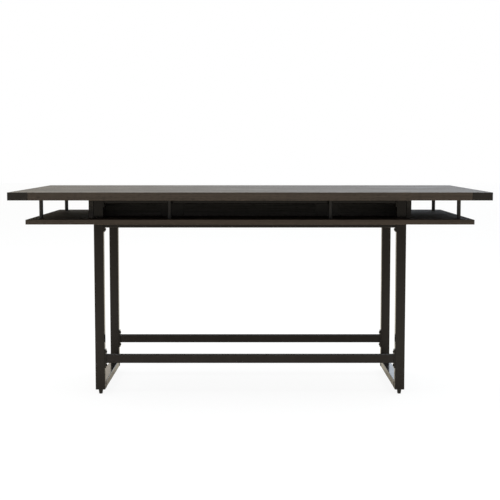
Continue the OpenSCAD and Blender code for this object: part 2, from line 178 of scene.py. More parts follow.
# %% Room and floor
ROOM_FRONT = (0.36, 0.35, 0.34, 1.0)
WALL_LEFT = (0.64, 0.67, 0.63, 1.0)
WALL_RIGHT = (0.70, 0.74, 0.79, 1.0)
WINDOW_LEFT = (0.93, 0.77, 0.54, 1.0)
WINDOW_RIGHT = (1.55, 1.75, 2.02, 1.0)
FRONT_TO_REAR = (-0.55, 0.75)
LEFT_TO_RIGHT = (-0.2, 0.2)
WINDOW_SILL = (0.08, 0.17)
WINDOW_HEAD = (0.42, 0.26)
WHITE = (1.0, 1.0, 1.0, 1.0)


def make_room():
    """A dim room in front, a bright one with a long window behind; the camera sees plain white."""
    world = bpy.data.worlds.new("studio_room")
    scene.world = world
    world.use_nodes = True
    tree = world.node_tree
    tree.nodes.clear()
    way = put(tree, "ShaderNodeTexCoord").outputs["Generated"]
    axes = axes_of(tree, way)
    depth = between(tree, axes["Y"], *FRONT_TO_REAR)
    side = between(tree, axes["X"], *LEFT_TO_RIGHT)
    wall = tint(tree, side, WALL_LEFT, WALL_RIGHT)
    window = tint(tree, side, WINDOW_LEFT, WINDOW_RIGHT)
    sill = between(tree, axes["Z"], *WINDOW_SILL)
    head = between(tree, axes["Z"], *WINDOW_HEAD)
    rear = tint(tree, times(tree, sill, head), wall, window)
    room = tint(tree, depth, ROOM_FRONT, rear)
    lit = put(tree, "ShaderNodeBackground", {"Color": room, "Strength": 1.0})
    seen = put(tree, "ShaderNodeBackground", {"Color": WHITE, "Strength": 1.0})
    eye = put(tree, "ShaderNodeLightPath").outputs["Is Camera Ray"]
    choice = put(tree, "ShaderNodeMixShader", {0: eye, 1: lit.outputs[0], 2: seen.outputs[0]})
    out = put(tree, "ShaderNodeOutputWorld")
    tree.links.new(choice.outputs[0], out.inputs["Surface"])


make_room()

FLOOR_HALF = 40.0
FLOOR_COLOUR = (0.50, 0.45, 0.37, 1.0)
FLOOR_GLOW = (0.27, 0.24, 0.19, 1.0)
SEEN_COLOUR = (0.10, 0.10, 0.10, 1.0)
SEEN_GLOW = (0.90, 0.90, 0.90, 1.0)
floor_mesh = bpy.data.meshes.new("studio_floor")
floor_corners = [(x * FLOOR_HALF, y * FLOOR_HALF, 0.0) for x, y in ((-1, -1), (1, -1), (1, 1), (-1, 1))]
floor_mesh.from_pydata(floor_corners, [], [(0, 1, 2, 3)])
floor = bpy.data.objects.new("studio_floor", floor_mesh)
scene.collection.objects.link(floor)

floor_finish = bpy.data.materials.new("pale studio floor")
floor_finish.use_nodes = True
floor_tree = floor_finish.node_tree
floor_eye = put(floor_tree, "ShaderNodeLightPath").outputs["Is Camera Ray"]
floor_colour = tint(floor_tree, floor_eye, FLOOR_COLOUR, SEEN_COLOUR)
floor_shader = floor_tree.nodes["Principled BSDF"]
floor_tree.links.new(floor_colour, floor_shader.inputs["Base Color"])
floor_glow = tint(floor_tree, floor_eye, FLOOR_GLOW, SEEN_GLOW)
floor_tree.links.new(floor_glow, floor_shader.inputs["Emission Color"])
floor_shader.inputs["Emission Strength"].default_value = 1.0
floor_shader.inputs["Roughness"].default_value = 0.9
floor_shader.inputs["Specular IOR Level"].default_value = 0.1
floor_mesh.materials.append(floor_finish)
print("floor", 2 * FLOOR_HALF, "m square")

# %% Softboxes
def softbox(name, place, aim, wide, high, power, colour):
    """A rectangular soft light at place that faces the point aim."""
    data = bpy.data.lights.new(name, "AREA")
    data.shape = "RECTANGLE"
    data.size, data.size_y = wide, high
    data.energy = power
    data.color = colour
    light = bpy.data.objects.new(name, data)
    light.location = place
    light.rotation_euler = (Vector(aim) - Vector(place)).to_track_quat("-Z", "Y").to_euler()
    scene.collection.objects.link(light)
    return light


COOL = (0.93, 0.98, 1.0)
WARM = (1.0, 0.96, 0.9)
softbox("overhead_softbox", (0.0, 0.6, 6.5), (0.0, 0.0, 0.0), wide=11.0, high=9.0, power=800.0, colour=COOL)
softbox("left_fill", (-6.0, -4.0, 3.0), (0.0, 0.0, 0.6), wide=3.0, high=3.0, power=60.0, colour=WARM)

# %% [markdown]
# ## Shared effects
#
# Several finishes show the same things: a wood figure, the fine orange peel of sprayed or moulded surfaces,
# marks from hands and dust, scuffs near the floor, and corners rubbed smooth. Each is made once, as a group
# of shader nodes with named inputs, and every finish gives it its own values. The groups read the place on
# the object itself, so nothing slides when the table is seen from another side.

# %% Helpers for effects
NUMBER = "NodeSocketFloat"


def effect(name, inputs, outputs):
    """An empty effect with named number inputs and outputs; gives its tree, inputs and last node."""
    tree = bpy.data.node_groups.new(name, "ShaderNodeTree")
    for label, value in inputs:
        tree.interface.new_socket(name=label, in_out="INPUT", socket_type=NUMBER).default_value = value
    for label in outputs:
        tree.interface.new_socket(name=label, in_out="OUTPUT", socket_type=NUMBER)
    start = tree.nodes.new("NodeGroupInput")
    end = tree.nodes.new("NodeGroupOutput")
    return tree, start.outputs, end


def send(tree, end, **values):
    """Links values to an effect's outputs; a name's underscores stand for spaces."""
    for label, value in values.items():
        tree.links.new(value, end.inputs[label.replace("_", " ")])


def stretched(tree, along, across, along_scale, across_scale, layer):
    """A place on a board, measured along and across its grain, with its own scale each way."""
    sockets = {"X": times(tree, along, along_scale), "Y": times(tree, across, across_scale)}
    return put(tree, "ShaderNodeCombineXYZ", dict(sockets, Z=layer)).outputs[0]


# %% [markdown]
# ### Wood figure
#
# Woodgrain laminate is a printed sheet pressed with a matching texture. Its figure has long fine streaks,
# slow darker bands, arched growth lines here and there, and short pores. Noise drawn out many times longer
# along the grain than across it gives the streaks; a sine of a slow noise gives the arches. On a board the
# grain follows its length, so faces that look left or right turn the figure to run front to rear.

# %% Effect: wood figure
END_FACE = 0.72
DRIFT_WAVES = (0.9, 3.0)
BAND_WAVES = (0.5, 11.0)
STREAK_WAVES = 2.2
HAIR_WAVES = (10.0, 520.0)
HILL_WAVES = (0.42, 2.6)
PORE_WAVES = (34.0, 1100.0)
RINGS = 2.3


def make_wood_figure():
    """Figure, pores and height of printed woodgrain, with the grain along X, or along Y on end faces."""
    inputs = [("Streaks per metre", 85.0), ("Meander", 0.02), ("Arches", 0.3), ("Board", 0.0)]
    tree, given, end = effect("wood figure", inputs, ["Figure", "Pores", "Height"])
    place = axes_of(tree, own_place(tree))
    on_end = maths(tree, "GREATER_THAN", maths(tree, "ABSOLUTE", facing(tree)["X"]), END_FACE)
    along = choose(tree, on_end, place["X"], place["Y"])
    across = choose(tree, on_end, plus(tree, place["Y"], place["Z"]), place["Z"])
    board = given["Board"]
    drift = noise(tree, stretched(tree, along, across, *DRIFT_WAVES, board), 1.0, 2.0)
    shift = times(tree, minus(tree, drift, 0.5), given["Meander"])
    across = plus(tree, across, shift)
    bands = noise(tree, stretched(tree, along, across, *BAND_WAVES, board), 1.0, 4.0, 0.6)
    fine = stretched(tree, along, across, STREAK_WAVES, given["Streaks per metre"], board)
    streaks = noise(tree, fine, 1.0, 6.0, 0.62)
    hairs = noise(tree, stretched(tree, along, across, *HAIR_WAVES, board), 1.0, 2.0)
    hill = noise(tree, stretched(tree, along, across, *HILL_WAVES, board), 1.0, 1.0, 0.35)
    rings = plus(tree, times(tree, hill, 7.0), times(tree, across, 5.0))
    ripple = maths(tree, "SINE", times(tree, rings, 2.0 * math.pi * RINGS))
    arches = maths(tree, "POWER", between(tree, ripple, -1.0, 1.0), 2.2)
    plain = between(tree, bands, 0.30, 0.70, 0.0, 0.34)
    plain = plus(tree, plain, between(tree, streaks, 0.36, 0.64, 0.0, 0.40))
    plain = plus(tree, plain, between(tree, hairs, 0.34, 0.66, 0.0, 0.26))
    rows = between(tree, streaks, 0.40, 0.56)
    lines = times(tree, times(tree, arches, rows), given["Arches"])
    figure = minus(tree, plain, times(tree, lines, 0.6))
    dashes = noise(tree, stretched(tree, along, across, *PORE_WAVES, board), 1.0, 1.0)
    pores = times(tree, between(tree, dashes, 0.56, 0.64), between(tree, bands, 0.66, 0.44))
    height = minus(tree, times(tree, hairs, 0.5), times(tree, pores, 0.6))
    send(tree, end, Figure=between(tree, figure, 0.10, 0.80), Pores=pores, Height=height)
    return tree


wood_figure = make_wood_figure()
print("effect:", wood_figure.name, len(wood_figure.nodes), "nodes")

# %% [markdown]
# ### Coat texture, handling, scuffs and worn corners
#
# Powder coat is plastic powder baked on steel: it flows into small soft bumps. Moulded plastic has a finer
# pattern of the same kind. Hands leave patches that shine a little more or less, dust lies on faces that look
# up, shoes scuff whatever is near the floor, and sharp corners are the first to be rubbed. Worn corners use a
# mark that each eased piece carries on its rounded edges.

# %% Effects: coat texture, handling, scuffs, worn corners
def make_coat_texture():
    """Fine bumps at the given number per metre, and a slow uneven tone."""
    tree, given, end = effect("coat texture", [("Bumps per metre", 700.0)], ["Height", "Mottle"])
    place = own_place(tree)
    soft = noise(tree, place, given["Bumps per metre"], 1.5)
    grit = noise(tree, place, times(tree, given["Bumps per metre"], 3.3), 0.0)
    height = plus(tree, times(tree, soft, 0.75), times(tree, grit, 0.25))
    send(tree, end, Height=height, Mottle=noise(tree, place, 17.0, 5.0, 0.6))
    return tree


def make_handling():
    """Smudges left by hands and cloths, and dust on faces that look up."""
    tree, given, end = effect("handling", [("Smudges", 0.5), ("Dust", 0.3)], ["Smudge", "Dust"])
    place = own_place(tree)
    patches = between(tree, noise(tree, place, 4.5, 3.0), 0.48, 0.68)
    wipes = noise(tree, place, 55.0, 4.0, 0.7)
    smudge = times(tree, times(tree, patches, wipes), given["Smudges"])
    specks = between(tree, noise(tree, place, 260.0, 2.0), 0.5, 0.75)
    film = plus(tree, times(tree, specks, 0.7), 0.3)
    dust = times(tree, times(tree, between(tree, facing(tree)["Z"], 0.6, 1.0), film), given["Dust"])
    send(tree, end, Smudge=smudge, Dust=dust)
    return tree


def make_scuffs():
    """Streaky rubs from shoes and mops, strongest on the floor and gone at the given height."""
    tree, given, end = effect("scuffs", [("Height", 0.3), ("Amount", 0.5)], ["Scuff"])
    place = own_place(tree)
    low = between(tree, axes_of(tree, place)["Z"], 0.0, given["Height"], 1.0, 0.0)
    flat = put(tree, "ShaderNodeMapping", {"Vector": place, "Scale": (60.0, 60.0, 240.0)}).outputs[0]
    rubs = between(tree, noise(tree, flat, 1.0, 6.0, 0.72), 0.55, 0.78)
    patches = between(tree, noise(tree, place, 13.0, 3.0), 0.46, 0.64)
    mask = times(tree, times(tree, rubs, patches), low)
    send(tree, end, Scuff=maths(tree, "MULTIPLY", mask, given["Amount"], clamp=True))
    return tree


def make_worn_corners():
    """The rounded edges of an eased piece, broken up as rubbing does."""
    tree, given, end = effect("worn corners", [("Amount", 0.6)], ["Worn"])
    mark = put(tree, "ShaderNodeAttribute", attribute_name="arris").outputs["Fac"]
    place = own_place(tree)
    broken = between(tree, noise(tree, place, 38.0, 5.0, 0.7), 0.38, 0.66)
    send(tree, end, Worn=times(tree, times(tree, mark, broken), given["Amount"]))
    return tree


coat_texture = make_coat_texture()
handling = make_handling()
scuffs = make_scuffs()
worn_corners = make_worn_corners()
print("effects:", [tree.name for tree in (coat_texture, handling, scuffs, worn_corners)])

# %% [markdown]
# ## Finishes
#
# Each finish is one Principled shader. Colour, roughness and bump come from the effects; numbers that are the
# same all over, such as the specular level, are set on the shader itself. A dark matt finish needs a low
# specular level: it stays deep when seen square on, and still turns pale at a glancing angle, as laminate and
# powder coat do.

# %% Helpers for finishes
def start_finish(name, specular=0.5, metallic=0.0):
    """A new material with one Principled shader."""
    material = bpy.data.materials.new(name)
    material.use_nodes = True
    shader = material.node_tree.nodes["Principled BSDF"]
    shader.inputs["Specular IOR Level"].default_value = specular
    shader.inputs["Metallic"].default_value = metallic
    return material, material.node_tree, shader


def use(tree, group, values=None):
    """Places an effect in a finish with its own values; gives its outputs."""
    made = tree.nodes.new("ShaderNodeGroup")
    made.node_tree = group
    for name, value in (values or {}).items():
        made.inputs[name].default_value = value
    return made.outputs


def complete(tree, shader, colour, roughness, height, depth, strength=1.0):
    """Links colour, roughness and a bump of the given depth in metres to the shader."""
    bump = put(tree, "ShaderNodeBump", {"Height": height, "Distance": depth, "Strength": strength})
    tree.links.new(colour, shader.inputs["Base Color"])
    tree.links.new(roughness, shader.inputs["Roughness"])
    tree.links.new(bump.outputs["Normal"], shader.inputs["Normal"])

# %% [markdown]
# ### Woodgrain laminate
#
# The top and the shelf are chipboard faced with a dark brown woodgrain laminate. The figure runs from a deep
# to a lighter brown, pores are darker still, and the pressed texture follows the figure. Smudges change the
# gloss, not the colour.

# %% Finish: woodgrain laminate and edge banding
def wood_finish(name, dark, light, roughness, specular, streaks, arches, board, dust):
    """A woodgrain finish from dark to light brown; board moves the figure, so that no two boards match."""
    material, tree, shader = start_finish(name, specular)
    wood = use(tree, wood_figure, {"Streaks per metre": streaks, "Arches": arches, "Board": board})
    marks = use(tree, handling, {"Smudges": 0.9, "Dust": dust})
    worn = use(tree, worn_corners, {"Amount": 0.45})["Worn"]
    colour = tint(tree, wood["Figure"], dark, light)
    colour = tint(tree, times(tree, wood["Pores"], 0.75), colour, scaled(dark, 0.35))
    colour = tint(tree, marks["Dust"], colour, DUST)
    colour = tint(tree, worn, colour, scaled(light, 1.9))
    gloss = plus(tree, roughness, times(tree, wood["Pores"], 0.12))
    gloss = minus(tree, gloss, times(tree, marks["Smudge"], 0.16))
    gloss = plus(tree, gloss, times(tree, wood["Figure"], -0.05))
    complete(tree, shader, colour, gloss, wood["Height"], 0.00012, 0.6)
    return material


DUST = (0.30, 0.28, 0.26, 1.0)
WOOD_DARK = (0.0255, 0.0192, 0.0147, 1.0)
WOOD_LIGHT = (0.0785, 0.0625, 0.0500, 1.0)
PANEL_DARK = (0.0400, 0.0380, 0.0360, 1.0)
PANEL_LIGHT = (0.1050, 0.1010, 0.0970, 1.0)
BAND_DARK = (0.034, 0.026, 0.021, 1.0)
BAND_LIGHT = (0.082, 0.064, 0.052, 1.0)
top_laminate = wood_finish(
    "woodgrain laminate, top", WOOD_DARK, WOOD_LIGHT, roughness=0.56, specular=0.32,
    streaks=85.0, arches=0.34, board=0.0, dust=0.03,
)
panel_laminate = wood_finish(
    "woodgrain laminate, panels", PANEL_DARK, PANEL_LIGHT, roughness=0.55, specular=0.3,
    streaks=100.0, arches=0.1, board=31.0, dust=0.02,
)
edge_banding = wood_finish(
    "woodgrain edge banding", BAND_DARK, BAND_LIGHT, roughness=0.46, specular=0.3,
    streaks=210.0, arches=0.0, board=57.0, dust=0.0,
)
print("wood finishes:", [m.name for m in (top_laminate, panel_laminate, edge_banding)])

# %% [markdown]
# ### Chipboard and backing sheet
#
# The underside of the top wears a plain brown backing sheet, which balances the laminate so that the board
# stays flat. It is a matt paper finish with a faint cloudy tone. Chipboard shows only inside cut holes: pale
# flakes pressed in glue, made with a cell pattern whose random cell colour tints each flake.

# %% Finish: backing sheet
SHEET_DARK = (0.030, 0.023, 0.018, 1.0)
SHEET_LIGHT = (0.052, 0.041, 0.033, 1.0)


def make_backing():
    """Matt brown backing paper with a fine tooth and slow clouds."""
    material, tree, shader = start_finish("brown backing sheet", 0.25)
    coat = use(tree, coat_texture, {"Bumps per metre": 1500.0})
    marks = use(tree, handling, {"Smudges": 0.6, "Dust": 0.0})
    colour = tint(tree, between(tree, coat["Mottle"], 0.3, 0.7), SHEET_DARK, SHEET_LIGHT)
    gloss = minus(tree, 0.68, times(tree, marks["Smudge"], 0.15))
    complete(tree, shader, colour, gloss, coat["Height"], 0.00006)
    return material


# %% Finish: chipboard
FLAKE_DARK = (0.20, 0.13, 0.075, 1.0)
FLAKE_LIGHT = (0.46, 0.34, 0.21, 1.0)
FLAKE_GLUE = (0.11, 0.07, 0.04, 1.0)


def pressed_flakes(tree):
    """Flakes that lie flat in the board: colour, shade and how far each point is from a flake's middle."""
    flat = put(tree, "ShaderNodeMapping", {"Vector": own_place(tree), "Scale": (1.0, 1.0, 3.0)}).outputs[0]
    flakes = put(tree, "ShaderNodeTexVoronoi", {"Vector": flat, "Scale": 260.0}).outputs
    shade = put(tree, "ShaderNodeSeparateColor", {"Color": flakes["Color"]}).outputs[0]
    return tint(tree, shade, FLAKE_DARK, FLAKE_LIGHT), shade, flakes["Distance"]


def make_chipboard():
    """Pressed flakes in glue."""
    material, tree, shader = start_finish("chipboard core", 0.2)
    colour, shade, gap = pressed_flakes(tree)
    colour = tint(tree, between(tree, gap, 0.35, 0.8), colour, FLAKE_GLUE)
    complete(tree, shader, colour, between(tree, shade, 0.0, 1.0, 0.75, 0.92), gap, 0.0003)
    return material


backing = make_backing()
chipboard = make_chipboard()
print("board finishes:", backing.name, "and", chipboard.name)

# %% [markdown]
# ### Powder coat
#
# The steel is powder coated in black brown. The coat is satin, with a soft orange peel. Near the floor it is
# scuffed, and along rubbed corners it is polished and a little paler. The footrests have a coarser, rougher
# coat, which gives shoes some grip and hides their marks.

# %% Finish: powder coat
def coat_finish(name, base, pale, roughness, specular, bumps, depth, scuff):
    """Powder coat from a base to a slightly paler colour, with scuffs near the floor and rubbed corners."""
    material, tree, shader = start_finish(name, specular)
    coat = use(tree, coat_texture, {"Bumps per metre": bumps})
    marks = use(tree, handling, {"Smudges": 0.7, "Dust": 0.02})
    scuff = use(tree, scuffs, {"Height": 0.30, "Amount": scuff})["Scuff"]
    worn = use(tree, worn_corners, {"Amount": 0.5})["Worn"]
    colour = tint(tree, between(tree, coat["Mottle"], 0.32, 0.68), base, pale)
    colour = tint(tree, marks["Dust"], colour, COAT_DUST)
    colour = tint(tree, scuff, colour, SCUFF)
    colour = tint(tree, worn, colour, scaled(pale, 3.2))
    gloss = between(tree, coat["Mottle"], 0.3, 0.7, roughness - 0.04, roughness + 0.05)
    gloss = minus(tree, gloss, times(tree, marks["Smudge"], 0.12))
    gloss = plus(tree, gloss, times(tree, scuff, 0.2))
    gloss = minus(tree, gloss, times(tree, worn, 0.12))
    complete(tree, shader, colour, gloss, coat["Height"], depth)
    return material


COAT_DUST = (0.34, 0.32, 0.30, 1.0)
SCUFF = (0.17, 0.16, 0.15, 1.0)
PLATE_BASE = (0.020, 0.018, 0.016, 1.0)
PLATE_PALE = (0.027, 0.025, 0.022, 1.0)
POST_BASE = (0.0255, 0.0257, 0.0280, 1.0)
POST_PALE = (0.0350, 0.0350, 0.0380, 1.0)
COAT_BASE = (0.0104, 0.0086, 0.0087, 1.0)
COAT_PALE = (0.0140, 0.0116, 0.0117, 1.0)
CAP_BASE = (0.0138, 0.0119, 0.0107, 1.0)
CAP_PALE = (0.0188, 0.0163, 0.0146, 1.0)
GRIP_BASE = (0.0325, 0.0294, 0.0286, 1.0)
GRIP_PALE = (0.0385, 0.0350, 0.0340, 1.0)
powder_coat = coat_finish(
    "powder coat, black brown", COAT_BASE, COAT_PALE, roughness=0.16, specular=0.30,
    bumps=650.0, depth=0.00004, scuff=0.4,
)
cap_coat = coat_finish(
    "powder coat, caps", CAP_BASE, CAP_PALE, roughness=0.22, specular=0.38,
    bumps=650.0, depth=0.00012, scuff=0.0,
)
grip_coat = coat_finish(
    "powder coat, coarse", GRIP_BASE, GRIP_PALE, roughness=0.74, specular=0.12,
    bumps=420.0, depth=0.00035, scuff=0.5,
)
plate_coat = coat_finish(
    "powder coat, plates", PLATE_BASE, PLATE_PALE, roughness=0.36, specular=0.45,
    bumps=650.0, depth=0.00008, scuff=0.0,
)
post_coat = coat_finish(
    "powder coat, posts", POST_BASE, POST_PALE, roughness=0.34, specular=0.4,
    bumps=650.0, depth=0.00006, scuff=0.0,
)
print("coats:", [m.name for m in (powder_coat, cap_coat, grip_coat, plate_coat, post_coat)])

# %% [markdown]
# ### Moulded plastic and zinc plate
#
# Grommets, foot plugs and glides are black moulded plastic with a fine spark-eroded texture. Screws,
# brackets, nuts and threads are zinc plated: a thin bright metal whose clear passivation drifts a little
# between bluish and straw.

# %% Finish: moulded plastic
def plastic_finish(name, base, pale, roughness):
    """Moulded plastic with a fine texture and scuffs near the floor."""
    material, tree, shader = start_finish(name, 0.4)
    grain = use(tree, coat_texture, {"Bumps per metre": 2200.0})
    scuff = use(tree, scuffs, {"Height": 0.05, "Amount": 0.8})["Scuff"]
    worn = use(tree, worn_corners, {"Amount": 0.5})["Worn"]
    colour = tint(tree, between(tree, grain["Mottle"], 0.3, 0.7), base, pale)
    colour = tint(tree, maths(tree, "MAXIMUM", scuff, worn), colour, scaled(pale, 4.0))
    gloss = between(tree, grain["Mottle"], 0.3, 0.7, roughness - 0.05, roughness + 0.05)
    complete(tree, shader, colour, gloss, grain["Height"], 0.00004)
    return material


# %% Finish: zinc plate
ZINC_BLUE = (0.56, 0.59, 0.63, 1.0)
ZINC_YELLOW = (0.66, 0.64, 0.56, 1.0)
ZINC_BRIGHT = (0.78, 0.78, 0.78, 1.0)


def make_zinc():
    """Bright zinc plate with a faint drift of tint and fine scratches."""
    material, tree, shader = start_finish("zinc plate", 0.5, 1.0)
    coat = use(tree, coat_texture, {"Bumps per metre": 900.0})
    marks = use(tree, handling, {"Smudges": 1.0, "Dust": 0.0})
    worn = use(tree, worn_corners, {"Amount": 0.5})["Worn"]
    colour = tint(tree, between(tree, coat["Mottle"], 0.3, 0.7), ZINC_BLUE, ZINC_YELLOW)
    colour = tint(tree, worn, colour, ZINC_BRIGHT)
    gloss = plus(tree, 0.28, times(tree, marks["Smudge"], 0.25))
    complete(tree, shader, colour, gloss, coat["Height"], 0.00003)
    return material


BLACK_BASE = (0.014, 0.014, 0.014, 1.0)
BLACK_PALE = (0.022, 0.022, 0.022, 1.0)
PAD_BASE = (0.045, 0.045, 0.045, 1.0)
PAD_PALE = (0.070, 0.068, 0.066, 1.0)
black_plastic = plastic_finish("moulded plastic, black", BLACK_BASE, BLACK_PALE, 0.45)
pad_plastic = plastic_finish("moulded pad, dark grey", PAD_BASE, PAD_PALE, 0.6)
zinc = make_zinc()
print("small parts:", black_plastic.name, pad_plastic.name, zinc.name)

# %% [markdown]
# ### Boards with cut faces
#
# The shelf is one CAD solid: laminate on its faces, chipboard inside its slots and holes. The two finishes
# can share it, because a cut face never looks straight up or down: that alone picks the colour.

# %% Finish: faced board
SHELF_PORES = (0.009, 0.007, 0.006, 1.0)


def make_faced_board():
    """Shelf laminate on level faces and chipboard in the cuts."""
    material, tree, shader = start_finish("faced board", 0.1)
    cut = maths(tree, "LESS_THAN", maths(tree, "ABSOLUTE", facing(tree)["Z"]), 0.5)
    wood = use(tree, wood_figure, {"Streaks per metre": 95.0, "Arches": 0.2, "Board": 13.0})
    marks = use(tree, handling, {"Smudges": 0.8, "Dust": 0.06})
    colour = tint(tree, wood["Figure"], WOOD_DARK, WOOD_LIGHT)
    colour = tint(tree, times(tree, wood["Pores"], 0.75), colour, SHELF_PORES)
    colour = tint(tree, marks["Dust"], colour, DUST)
    core, _, gap = pressed_flakes(tree)
    colour = tint(tree, cut, colour, core)
    gloss = minus(tree, choose(tree, cut, 0.66, 0.85), times(tree, marks["Smudge"], 0.14))
    complete(tree, shader, colour, gloss, choose(tree, cut, wood["Height"], gap), 0.00012, 0.6)
    return material


faced_board = make_faced_board()

# %% [markdown]
# ## Dressing the CAD nodes
#
# Many CAD solids are right as they are: boards, tubes, hidden nuts and studs. They keep their meshes and get
# a finish in place of their plain colour. A table of name beginnings says which finish each gets, and the
# print shows that none was forgotten.

# %% Finishes on the CAD nodes
FINISH_OF = [
    ("tabletop_core", chipboard),
    ("tabletop_laminate", top_laminate),
    ("tabletop_backer", backing),
    ("tabletop_edge_bands", edge_banding),
    ("shelf_edge_bands", edge_banding),
    ("shelf_panel", faced_board),
    ("wireway_panel_", panel_laminate),
    ("bay_side_", panel_laminate),
    ("footrest_flanges", powder_coat),
    ("footrest_", grip_coat),
    ("access_cover_", plate_coat),
    ("post_front_", post_coat),
    ("post_rear_", post_coat),
    ("corner_cap_", cap_coat),
    ("upright_", powder_coat),
    ("runner_", powder_coat),
    ("shelf_beam_", powder_coat),
    ("top_rail_", powder_coat),
    ("flange_bolts", powder_coat),
    ("cable_grommets", black_plastic),
    ("foot_plug_", black_plastic),
    ("glide_", black_plastic),
    ("", zinc),
]


def finish_for(node):
    """The finish of a CAD node, from the beginning of its name."""
    return next(finish for start, finish in FINISH_OF if node.startswith(start))


for name, solid in nodes.items():
    solid.data.materials.clear()
    solid.data.materials.append(finish_for(name))
print("zinc plated:", sorted(name for name in nodes if finish_for(name) is zinc))

# %% [markdown]
# ## Helpers for pieces
#
# A piece is a new mesh that stands for a CAD node. It keeps the node's size and place, so each one begins
# with a copy of the node's mesh, with the loose triangles merged into whole faces. The CAD node itself is
# never changed: it is hidden and still does the physics.

# %% Helpers: copies, solids and finished pieces
SHARP = math.radians(40.0)
FLAT = math.radians(1.0)
SAME_POINT = 1e-6
TOUCHING = 1e-5


def merged_copy(node):
    """A copy of a CAD node's shape with its doubles merged and its flat faces whole."""
    shape = bmesh.new()
    shape.from_mesh(nodes[node].data)
    bmesh.ops.remove_doubles(shape, verts=shape.verts, dist=SAME_POINT)
    bmesh.ops.dissolve_limit(shape, angle_limit=FLAT, verts=shape.verts, edges=shape.edges)
    return shape


def solids_of(node):
    """The corners of each separate solid of a CAD node, as lists of points."""
    shape = bmesh.new()
    shape.from_mesh(nodes[node].data)
    bmesh.ops.remove_doubles(shape, verts=shape.verts, dist=SAME_POINT)
    left = set(shape.verts)
    found = []
    while left:
        reached = [left.pop()]
        for vertex in reached:
            for edge in vertex.link_edges:
                other = edge.other_vert(vertex)
                if other in left:
                    left.discard(other)
                    reached.append(other)
        found.append([vertex.co.copy() for vertex in reached])
    shape.free()
    return sorted(found, key=lambda points: tuple(round(value, 4) for value in min(points)))


def piece_from(name, shape, finishes):
    """Makes a bmesh into an object with these finishes, smooth on its curves and sharp at its corners."""
    mesh = bpy.data.meshes.new(name)
    shape.to_mesh(mesh)
    shape.free()
    mesh.polygons.foreach_set("use_smooth", [True] * len(mesh.polygons))
    mesh.set_sharp_from_angle(angle=SHARP)
    piece = bpy.data.objects.new(name, mesh)
    scene.collection.objects.link(piece)
    for finish in finishes:
        mesh.materials.append(finish)
    return piece


def settle(piece):
    """Turns a piece and its modifiers into one plain mesh."""
    graph = bpy.context.evaluated_depsgraph_get()
    final = piece.evaluated_get(graph)
    plain = bpy.data.meshes.new_from_object(final, preserve_all_data_layers=True, depsgraph=graph)
    piece.modifiers.clear()
    piece.data = plain
    return piece


def level_normals(piece):
    """Keeps big flat faces flat where they meet a small rounding."""
    weighting = piece.modifiers.new("level normals", "WEIGHTED_NORMAL")
    weighting.keep_sharp = True
    weighting.weight = 100
    return settle(piece)


def triangles(piece):
    """How many triangles a piece has."""
    return sum(len(face.vertices) - 2 for face in piece.data.polygons)


def stand_for(piece, slot, *hidden, body=TABLE):
    """The piece rides on its body and stands for the hidden CAD nodes; slot is not used."""
    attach(piece, body)
    if hidden:
        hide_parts(*hidden)
    print(f"{piece.name}: {triangles(piece)} triangles, for {', '.join(hidden) or 'no node'}")
    return piece


# %% [markdown]
# ## Eased corners
#
# No real edge is a perfect corner: banding is scraped round, steel is deburred and moulded plastic leaves its
# mould with a radius. Those small rounds catch the light, and they are most of what tells a real thing from a
# block. Each piece below is a copy of its node with its outward corners bevelled in two or three small steps.
# The new faces get a mark that the finishes read, so that wear shows on them.

# %% Helper: an eased copy
def eased(name, node, width, finish, slot, wanted=None, steps=3):
    """A copy of a CAD node with its outward corners rounded to a width; wanted picks which ones."""
    shape = merged_copy(node)
    mark = shape.faces.layers.float.new("arris")
    corners = [
        edge for edge in shape.edges
        if len(edge.link_faces) == 2 and edge.is_convex and edge.calc_face_angle(0.0) > SHARP
        and (wanted is None or wanted(*[vertex.co for vertex in edge.verts]))
    ]
    made = bmesh.ops.bevel(
        shape, geom=corners, offset=width, offset_type="OFFSET", segments=steps, profile=0.5, affect="EDGES",
        clamp_overlap=True
    )
    for face in made["faces"]:
        face[mark] = 1.0
    return stand_for(level_normals(piece_from(name, shape, [finish])), slot, node)


# %% [markdown]
# ### Edge banding
#
# The edge of the top is covered by four strips of woodgrain banding, 2 mm thick. The shelf has the same. Once
# glued, the strips are scraped with a radius cutter, which rounds only their outer corners: the inner ones
# meet the board in a hairline. So the rule picks the edges that lie on the outside of the board.

# %% Piece: edge banding of the top and the shelf
def on_outside(node):
    """A rule for the edges that lie on the outer faces of a node."""
    low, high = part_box(node)

    def rule(first, second):
        for i in (0, 1):
            for side in (low[i], high[i]):
                if abs(first[i] - side) < TOUCHING and abs(second[i] - side) < TOUCHING:
                    return True
        return False

    return rule


BANDING_ROUND = 0.0013
for board, strips in (("top", "tabletop_edge_bands"), ("shelf", "shelf_edge_bands")):
    eased("edge_banding_" + board, strips, BANDING_ROUND, edge_banding, "edge_banding", on_outside(strips))

# %% [markdown]
# ### Corner caps, covers, posts and flanges
#
# The caps protect the corners of the top and are let in flush. The covers close the openings of the wireway.
# The posts are turned from round bar with a small chamfer at each end. The flanges are cut plates, 6 mm
# thick. All are steel, so their corners are only broken, by less than a millimetre.

# %% Pieces: steel parts with broken corners
CORNERS = ("front_left", "front_right", "rear_left", "rear_right")
STEEL = "powder_coated_steel"
for corner in CORNERS:
    eased("corner_guard_" + corner, "corner_cap_" + corner, 0.0009, cap_coat, STEEL)
    eased("wireway_cover_" + corner, "access_cover_" + corner, 0.0006, plate_coat, STEEL)
for side in ("front", "rear"):
    for number in range(1, 5):
        eased(f"shelf_post_{side}_{number}", f"post_{side}_{number}", 0.0012, post_coat, STEEL, steps=2)
for group in ("footrest", "shelf_beam", "top_rail"):
    eased(group + "_end_plates", group + "_flanges", 0.0008, powder_coat, STEEL, steps=2)

